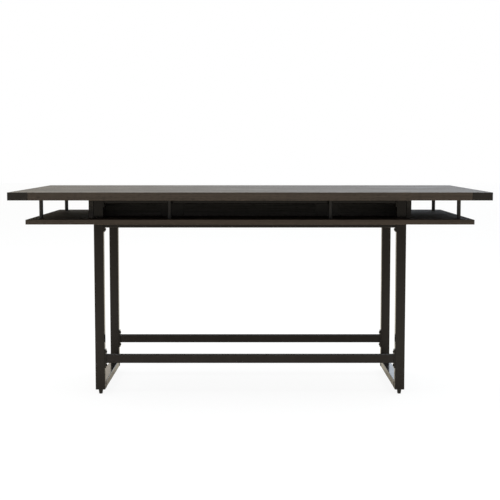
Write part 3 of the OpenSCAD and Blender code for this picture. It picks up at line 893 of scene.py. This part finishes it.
# %% [markdown]
# ### Panels, grommets, brackets and foot plugs
#
# The wireway's panels and the bay sides are boards with lightly sanded corners. The grommets and the foot
# plugs are moulded, and the brackets are pressed from strip, with a rounded bend.

# %% Pieces: boards, mouldings and brackets
BOARD, PLASTIC, ZINC = "woodgrain_laminate", "black_plastic", "zinc_plated_steel"
for side in ("front", "rear"):
    eased("wireway_board_" + side, "wireway_panel_" + side, 0.0007, panel_laminate, BOARD, steps=2)
for end in ("left", "right"):
    eased("bay_end_" + end, "bay_side_" + end, 0.0007, panel_laminate, BOARD, steps=2)
for corner in CORNERS:
    eased("leg_plug_" + corner, "foot_plug_" + corner, 0.0007, black_plastic, PLASTIC, steps=2)
eased("cable_hole_grommets", "cable_grommets", 0.0007, black_plastic, PLASTIC)
eased("angle_brackets", "panel_brackets", 0.0005, zinc, ZINC, steps=2)

# %% [markdown]
# ## Helpers for repeated parts
#
# Weld ripples, screws and threads repeat by a rule, so Geometry Nodes make them. Each tree has named inputs.
# A modifier's input is found by its socket's identifier and set before the object is first evaluated. The
# tree ends by turning its instances into real faces and giving them their finish, and the result is kept as
# one plain mesh.

# %% Helpers: geometry trees
KINDS = {"number": "Float", "count": "Int", "part": "Object", "finish": "Material"}


def geometry_tree(name, inputs):
    """An empty geometry tree with named inputs (name, kind); gives its tree, inputs and last socket."""
    tree = bpy.data.node_groups.new(name, "GeometryNodeTree")
    tree.interface.new_socket(name="Geometry", in_out="INPUT", socket_type="NodeSocketGeometry")
    for label, kind in inputs:
        tree.interface.new_socket(name=label, in_out="INPUT", socket_type="NodeSocket" + KINDS[kind])
    tree.interface.new_socket(name="Geometry", in_out="OUTPUT", socket_type="NodeSocketGeometry")
    start = tree.nodes.new("NodeGroupInput")
    end = tree.nodes.new("NodeGroupOutput")
    return tree, start.outputs, end.inputs["Geometry"]


def close_tree(tree, last, shape, finish):
    """Ends a tree: real faces, smooth shading and the finish."""
    real = put(tree, "GeometryNodeRealizeInstances", {"Geometry": shape})
    smooth = put(tree, "GeometryNodeSetShadeSmooth", {"Geometry": real.outputs[0]})
    done = put(tree, "GeometryNodeSetMaterial", {"Geometry": smooth.outputs[0], "Material": finish})
    tree.links.new(done.outputs[0], last)


def grow(name, points, edges, tree, values, marks=None):
    """Makes an object from points and edges, runs the tree on it and keeps the plain mesh."""
    mesh = bpy.data.meshes.new(name)
    mesh.from_pydata(points, edges, [])
    for label, (kind, entries) in (marks or {}).items():
        attribute = mesh.attributes.new(label, kind, "POINT")
        field = "vector" if kind == "FLOAT_VECTOR" else "value"
        attribute.data.foreach_set(field, entries)
    piece = bpy.data.objects.new(name, mesh)
    modifier = piece.modifiers.new(tree.name, "NODES")
    modifier.node_group = tree
    for item in tree.interface.items_tree:
        if item.item_type == "SOCKET" and item.in_out == "INPUT" and item.name in values:
            modifier[item.identifier] = values[item.name]
    scene.collection.objects.link(piece)
    return settle(piece)


# %% [markdown]
# ## Weld beads
#
# The floor tubes are welded between the legs, and each stretcher is welded to its end plates. A hand-laid
# bead is a row of overlapping ripples along the joint. So a path runs round each joint, and the tree sets a
# small flattened ball on it at every step, turned along the path and a little uneven. Each ball sits half
# inside both parts, so only its fillet shows. Where a tube lies against a board there is no room to weld, so
# those paths are open on top.

# %% Tree: weld bead along a path
def make_bead_tree():
    """Sets ripples along the paths of a mesh of edges."""
    inputs = [("Step", "number"), ("Radius", "number"), ("Unevenness", "number"), ("Seed", "count")]
    inputs.append(("Finish", "finish"))
    tree, given, last = geometry_tree("weld bead", inputs)
    paths = put(tree, "GeometryNodeMeshToCurve", {"Mesh": given["Geometry"]})
    cut = {"Curve": paths.outputs[0], "Length": given["Step"]}
    steps = put(tree, "GeometryNodeResampleCurve", cut, mode="LENGTH")
    ripple = put(tree, "GeometryNodeMeshUVSphere", {"Segments": 8, "Rings": 4, "Radius": given["Radius"]})
    heading = put(tree, "GeometryNodeInputTangent")
    turn = put(tree, "FunctionNodeAlignRotationToVector", {"Vector": heading.outputs[0]}, axis="Z")
    least = minus(tree, 1.0, given["Unevenness"])
    most = plus(tree, 1.0, given["Unevenness"])
    draw = {2: least, 3: most, 8: given["Seed"]}
    size = put(tree, "FunctionNodeRandomValue", draw, data_type="FLOAT").outputs[1]
    flat = put(tree, "ShaderNodeCombineXYZ", {0: size, 1: size, 2: times(tree, size, 0.8)})
    sockets = {"Points": steps.outputs[0], "Instance": ripple.outputs[0], "Rotation": turn.outputs[0]}
    ripples = put(tree, "GeometryNodeInstanceOnPoints", dict(sockets, Scale=flat.outputs[0]))
    close_tree(tree, last, ripples.outputs[0], given["Finish"])
    return tree


# %% Piece: weld beads
def round_joint(points, edges, place, first, second, rounding, closed):
    """Adds a path round a tube's end; place gives a point of the section; open paths leave out the top."""
    (left, right), (foot, head) = first, second
    corners = [(left, head, 90.0), (left, foot, 180.0), (right, foot, 270.0), (right, head, 0.0)]
    line = []
    for a, b, begin in corners:
        if b == head and not closed:
            line.append((a, b))
            continue
        middle_a = a + (rounding if a == left else -rounding)
        middle_b = b + (rounding if b == foot else -rounding)
        for step in range(4):
            angle = math.radians(begin + 30.0 * step)
            line.append((middle_a + rounding * math.cos(angle), middle_b + rounding * math.sin(angle)))
    base = len(points)
    points += [place(a, b) for a, b in line]
    edges += [(base + i, base + i + 1) for i in range(len(line) - 1)]
    if closed:
        edges.append((base + len(line) - 1, base))


TUBE_ROUND = 0.003
BEAD_RADIUS = 0.0024
PLUG_COLLAR = 0.0035
weld_points, weld_edges = [], []
for stretcher, whole in (("footrest", True), ("shelf_beam", False), ("top_rail", False)):
    for side in ("front", "rear"):
        low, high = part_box(f"{stretcher}_{side}")
        for x in (low.x, high.x):
            def end_face(a, b, x=x):
                """A point on the end of a stretcher."""
                return (x, a, b)

            section = ((low.y, high.y), (low.z, high.z))
            round_joint(weld_points, weld_edges, end_face, *section, TUBE_ROUND, whole)

for end in ("left", "right"):
    low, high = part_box("runner_" + end)
    for y in (low.y, high.y):
        def upright_face(a, b, y=y, level=low.z + high.z):
            """The runner's path is drawn upside down, so that its open side lies on the foot plug."""
            return (a, y, level - b)

        section = ((low.x, high.x), (low.z, high.z - PLUG_COLLAR))
        round_joint(weld_points, weld_edges, upright_face, *section, TUBE_ROUND, False)

bead_values = {"Step": 0.0026, "Radius": BEAD_RADIUS, "Unevenness": 0.14, "Seed": 7, "Finish": powder_coat}
stand_for(grow("weld_beads", weld_points, weld_edges, make_bead_tree(), bead_values), STEEL)

# %% [markdown]
# ## Screws and bolts
#
# One master of each kind is turned from a profile and its drive is sunk into the head: a hexagon for the
# bolts, a cross for the screws. A tree then sets a copy of the master at every place where the CAD has that
# fastener. Each place carries the way its shank points, and a seed gives each head its own turn, because
# nobody tightens screws to the same angle.

# %% Helpers: turned profiles and sunk drives
def turned(shape, profile, steps):
    """Turns (radius, height) points round +Z into faces; a radius of 0 is one point. Gives the rings."""
    rings = []
    for radius, height in profile:
        if radius == 0.0:
            rings.append([shape.verts.new((0.0, 0.0, height))])
            continue
        angles = [2.0 * math.pi * i / steps for i in range(steps)]
        rings.append([shape.verts.new((radius * math.cos(a), radius * math.sin(a), height)) for a in angles])
    for lower, upper in zip(rings, rings[1:]):
        for i in range(steps):
            j = (i + 1) % steps
            corners = [ring[n % len(ring)] for ring, n in ((lower, i), (lower, j), (upper, j), (upper, i))]
            shape.faces.new(list(dict.fromkeys(corners)))
    return rings


def drive_outline(kind, size):
    """The outline of a drive: a hexagon, or a cross with its arms across the whole size."""
    if kind == "hexagon":
        angles = [math.pi / 3.0 * i for i in range(6)]
        return [(size / 2 * math.cos(a), size / 2 * math.sin(a)) for a in angles]
    arm, waist = size / 2, size * 0.11
    quarter = [(arm, -waist), (arm, waist), (waist * 1.5, waist * 1.5)]
    outline = []
    for turn in range(4):
        c, s = math.cos(math.pi / 2 * turn), math.sin(math.pi / 2 * turn)
        outline += [(x * c - y * s, x * s + y * c) for x, y in quarter]
    return outline


def sink_drive(shape, rim, kind, size, depth, draft):
    """Fills a flat ring of vertices with a face that has a drive sunk into it, opening along -Z."""
    level = rim[0].co.z
    edge = [shape.verts.new((x, y, level)) for x, y in drive_outline(kind, size)]
    foot = [shape.verts.new((x * draft, y * draft, level + depth)) for x, y in drive_outline(kind, size)]
    count = len(edge)
    around = [shape.edges.new((edge[i], edge[(i + 1) % count])) for i in range(count)]
    outside = [shape.edges.get((rim[i], rim[(i + 1) % len(rim)])) for i in range(len(rim))]
    bmesh.ops.triangle_fill(shape, use_beauty=True, edges=around + outside)
    for i in range(count):
        j = (i + 1) % count
        shape.faces.new((edge[i], edge[j], foot[j], foot[i]))
    middle = shape.verts.new((0.0, 0.0, level + depth * 1.25))
    for i in range(count):
        shape.faces.new((foot[i], foot[(i + 1) % count], middle))


SHANK_PITCH = 0.0022


def make_master(name, head, head_height, shank, length, drive, finish, steps=18):
    """A fastener with the underside of its head at the origin and its shank along +Z."""
    shape = bmesh.new()
    radius, flat = head / 2, head * 0.34
    dome = [(flat, -head_height), (head * 0.43, -head_height * 0.86), (radius * 0.985, -head_height * 0.42)]
    profile = dome + [(radius, -head_height * 0.12), (radius * 0.97, 0.0), (shank / 2, 0.0)]
    height = SHANK_PITCH
    while height < length - SHANK_PITCH * 1.5:
        profile += [(shank / 2 * 0.86, height), (shank / 2, height + SHANK_PITCH * 0.5)]
        height += SHANK_PITCH
    profile += [(shank / 2 * 0.7, length - SHANK_PITCH * 0.4), (0.0, length)]
    rings = turned(shape, profile, steps)
    size = head * (0.5 if drive == "hexagon" else 0.56)
    sink_drive(shape, rings[0], drive, size, head_height * 0.62, 0.94 if drive == "hexagon" else 0.55)
    bmesh.ops.recalc_face_normals(shape, faces=shape.faces)
    return piece_from(name, shape, [finish])


# %% Helper: where the CAD puts its fasteners
RIM_SHARE = 0.95


def fasteners_of(node):
    """Each fastener of a node: the point under its head, the way it points, its lengths and its widths."""
    found = []
    for points in solids_of(node):
        low = Vector([min(p[i] for p in points) for i in range(3)])
        high = Vector([max(p[i] for p in points) for i in range(3)])
        axis = max(range(3), key=lambda i: high[i] - low[i])
        middle = (low + high) / 2
        i, j = [index for index in range(3) if index != axis]
        reach = [math.hypot(p[i] - middle[i], p[j] - middle[j]) for p in points]
        widest = max(reach)
        head = [p[axis] for p, r in zip(points, reach) if r > RIM_SHARE * widest]
        way = 1.0 if sum(head) / len(head) < middle[axis] else -1.0
        under = max(head) if way > 0 else min(head)
        outer = low[axis] if way > 0 else high[axis]
        tip = high[axis] if way > 0 else low[axis]
        place = middle.copy()
        place[axis] = under
        direction = Vector((0.0, 0.0, 0.0))
        direction[axis] = way
        shank = 2.0 * min(r for p, r in zip(points, reach) if abs(p[axis] - tip) < TOUCHING)
        found.append((place, direction, abs(tip - under), abs(under - outer), 2.0 * widest, shank))
    return found


# %% Tree: a part at every place
def make_place_tree():
    """Sets a copy of a part at every point, along the point's own direction and turned by its own angle."""
    inputs = [("Part", "part"), ("Seed", "count"), ("Finish", "finish")]
    tree, given, last = geometry_tree("part at every place", inputs)
    part = put(tree, "GeometryNodeObjectInfo", {"Object": given["Part"], "As Instance": True})
    way = put(tree, "GeometryNodeInputNamedAttribute", {"Name": "direction"}, data_type="FLOAT_VECTOR")
    aligned = put(tree, "FunctionNodeAlignRotationToVector", {"Vector": way.outputs[0]}, axis="Z")
    draw = {2: 0.0, 3: 2.0 * math.pi, 8: given["Seed"]}
    angle = put(tree, "FunctionNodeRandomValue", draw, data_type="FLOAT")
    spin = put(tree, "FunctionNodeAxisAngleToRotation", {"Axis": (0.0, 0.0, 1.0), "Angle": angle.outputs[1]})
    both = {0: aligned.outputs[0], 1: spin.outputs[0]}
    turn = put(tree, "FunctionNodeRotateRotation", both, rotation_space="LOCAL")
    sockets = {"Points": given["Geometry"], "Instance": part.outputs["Geometry"], "Rotation": turn.outputs[0]}
    copies = put(tree, "GeometryNodeInstanceOnPoints", sockets)
    close_tree(tree, last, copies.outputs[0], given["Finish"])
    return tree


place_tree = make_place_tree()


# %% Pieces: bolts and screws
def fit_fasteners(name, node, drive, finish, slot, seed):
    """Sets the right master at each fastener of a CAD node."""
    places = fasteners_of(node)
    length, head_height, head, shank = places[0][2:]
    master = make_master(name + "_master", head, head_height, shank, length, drive, finish)
    points = [tuple(place[0]) for place in places]
    directions = [value for place in places for value in place[1]]
    values = {"Part": master, "Seed": seed, "Finish": finish}
    piece = grow(name, points, [], place_tree, values, {"direction": ("FLOAT_VECTOR", directions)})
    bpy.data.objects.remove(master)
    piece.data.set_sharp_from_angle(angle=SHARP)
    print(f"{len(places)} of head {head * 1000:.1f} mm, shank {shank * 1000:.1f} x {length * 1000:.1f} mm")
    return stand_for(piece, slot, node)


fit_fasteners("stretcher_bolts", "flange_bolts", "hexagon", powder_coat, STEEL, 3)
fit_fasteners("screws_in_tabletop", "tabletop_screws", "cross", zinc, ZINC, 11)
fit_fasteners("screws_in_shelf", "shelf_screws", "cross", zinc, ZINC, 12)
fit_fasteners("screws_in_posts", "post_screws", "cross", zinc, ZINC, 13)
fit_fasteners("screws_in_covers", "cover_screws", "cross", plate_coat, STEEL, 14)
fit_fasteners("screws_in_brackets", "bracket_screws", "cross", zinc, ZINC, 15)

# %% [markdown]
# ## Levelling glides
#
# A glide is a moulded foot on a threaded steel stem. The foot flares from the pad on the floor to a rim that
# fingers can turn, with flutes round it for grip. Its shape follows a rule, a turned profile whose radius
# dips at each flute, so it is drawn ring by ring. The thread is a helix, so Geometry Nodes sweep a small
# diamond along a spiral round a core. The foot, its pad and the stem are one body, so they are one mesh with
# three finishes. The glides are the only parts that move: each rides on its own body and slides out of its
# leg.

# %% Tree: screw thread
def make_thread_tree():
    """A threaded stem of the given radius and length, standing on the origin."""
    inputs = [(label, "number") for label in ("Radius", "Depth", "Length", "Pitch")] + [("Finish", "finish")]
    tree, given, last = geometry_tree("screw thread", inputs)
    core = minus(tree, given["Radius"], given["Depth"])
    run = minus(tree, given["Length"], times(tree, given["Depth"], 2.4))
    turns = maths(tree, "DIVIDE", run, given["Pitch"])
    sockets = {"Resolution": 16, "Rotations": turns, "Start Radius": core, "End Radius": core, "Height": run}
    helix = put(tree, "GeometryNodeCurveSpiral", sockets)
    level = put(tree, "GeometryNodeSetCurveNormal", {"Curve": helix.outputs[0]}, mode="Z_UP")
    diamond = put(tree, "GeometryNodeCurvePrimitiveCircle", {"Resolution": 4, "Radius": given["Depth"]})
    sweep = {"Curve": level.outputs[0], "Profile Curve": diamond.outputs[0], "Fill Caps": True}
    ridge = put(tree, "GeometryNodeCurveToMesh", sweep)
    lift = put(tree, "ShaderNodeCombineXYZ", {2: times(tree, given["Depth"], 1.2)})
    ridge = put(tree, "GeometryNodeTransform", {"Geometry": ridge.outputs[0], "Translation": lift.outputs[0]})
    stem = put(tree, "GeometryNodeMeshCylinder", {"Vertices": 24, "Radius": core, "Depth": given["Length"]})
    middle = put(tree, "ShaderNodeCombineXYZ", {2: times(tree, given["Length"], 0.5)})
    stem = put(tree, "GeometryNodeTransform", {"Geometry": stem.outputs[0], "Translation": middle.outputs[0]})
    both = put(tree, "GeometryNodeJoinGeometry")
    tree.links.new(ridge.outputs[0], both.inputs[0])
    tree.links.new(stem.outputs[0], both.inputs[0])
    close_tree(tree, last, both.outputs[0], given["Finish"])
    return tree


thread_tree = make_thread_tree()

# %% Piece: levelling glides
FLUTES = 16
FLUTE_DEPTH = 0.0009
PAD_HEIGHT = 0.0025
THREAD_DEPTH = 0.0006
STEM_PITCH = 0.00125


def make_glide(name, node, body):
    """A glide of the node's own size: pad, fluted foot and threaded stem."""
    points = [vertex.co for vertex in nodes[node].data.vertices]
    low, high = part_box(node)
    centre = Vector(((low.x + high.x) / 2, (low.y + high.y) / 2, 0.0))
    reach = [math.hypot(p.x - centre.x, p.y - centre.y) for p in points]
    rim = max(reach)
    base = max(r for p, r in zip(points, reach) if p.z < low.z + TOUCHING)
    shoulder = max(p.z for p, r in zip(points, reach) if r > RIM_SHARE * rim)
    stem = max(r for p, r in zip(points, reach) if p.z > shoulder + 0.001)
    pad = PAD_HEIGHT
    flare = [(base - 0.0008, 0.0, 0.0), (base, 0.0006, 0.0)]
    flare += [(base, pad, 0.0), (base - 0.0006, pad + 0.0004, 0.0)]
    tall = shoulder - pad - 0.0004
    for i in range(13):
        share = i / 12
        dip = min(1.0, 4.0 * share, 5.0 * (1.0 - share))
        radius = base + 0.0002 + (rim - base - 0.0002) * share ** 1.1
        flare.append((radius, pad + 0.0006 + 0.84 * tall * share, dip))
    flare += [(rim, shoulder - 0.0006, 0.0), (rim - 0.0007, shoulder, 0.0), (stem - 0.0006, shoulder, 0.0)]
    shape = bmesh.new()
    steps = FLUTES * 6
    rings = []
    for radius, height, dip in flare:
        ring = []
        for i in range(steps):
            angle = 2.0 * math.pi * i / steps
            reach_here = radius - dip * FLUTE_DEPTH * max(0.0, math.cos(FLUTES * angle)) ** 0.7
            ring.append(shape.verts.new((reach_here * math.cos(angle), reach_here * math.sin(angle), height)))
        rings.append(ring)
    for number, (lower, upper) in enumerate(zip(rings, rings[1:])):
        for i in range(steps):
            face = shape.faces.new((lower[i], lower[(i + 1) % steps], upper[(i + 1) % steps], upper[i]))
            face.material_index = 2 if number < 3 else 0
    sole = shape.faces.new(rings[0][::-1])
    sole.material_index = 2
    shape.faces.new(rings[-1])
    bmesh.ops.recalc_face_normals(shape, faces=shape.faces)
    values = {"Radius": stem, "Length": high.z - shoulder}
    values.update({"Depth": THREAD_DEPTH, "Pitch": STEM_PITCH, "Finish": zinc})
    thread = grow(name + "_thread", [(0.0, 0.0, 0.0)], [], thread_tree, values)
    before = len(shape.faces)
    thread.data.transform(Matrix.Translation((0.0, 0.0, shoulder)))
    shape.from_mesh(thread.data)
    shape.faces.ensure_lookup_table()
    for face in shape.faces[before:]:
        face.material_index = 1
    bpy.data.objects.remove(thread)
    bmesh.ops.translate(shape, vec=centre, verts=shape.verts)
    return stand_for(piece_from(name, shape, [black_plastic, zinc, pad_plastic]), PLASTIC, node, body=body)


for corner in CORNERS:
    make_glide("levelling_glide_" + corner, "glide_" + corner, "glide_" + corner)

# %% [markdown]
# ## The size of the CAD model
#
# Eased corners and beads must not make the table bigger than its CAD model. The CAD model's box is printed.

# %% Print the CAD box
print("CAD box", cad_box)
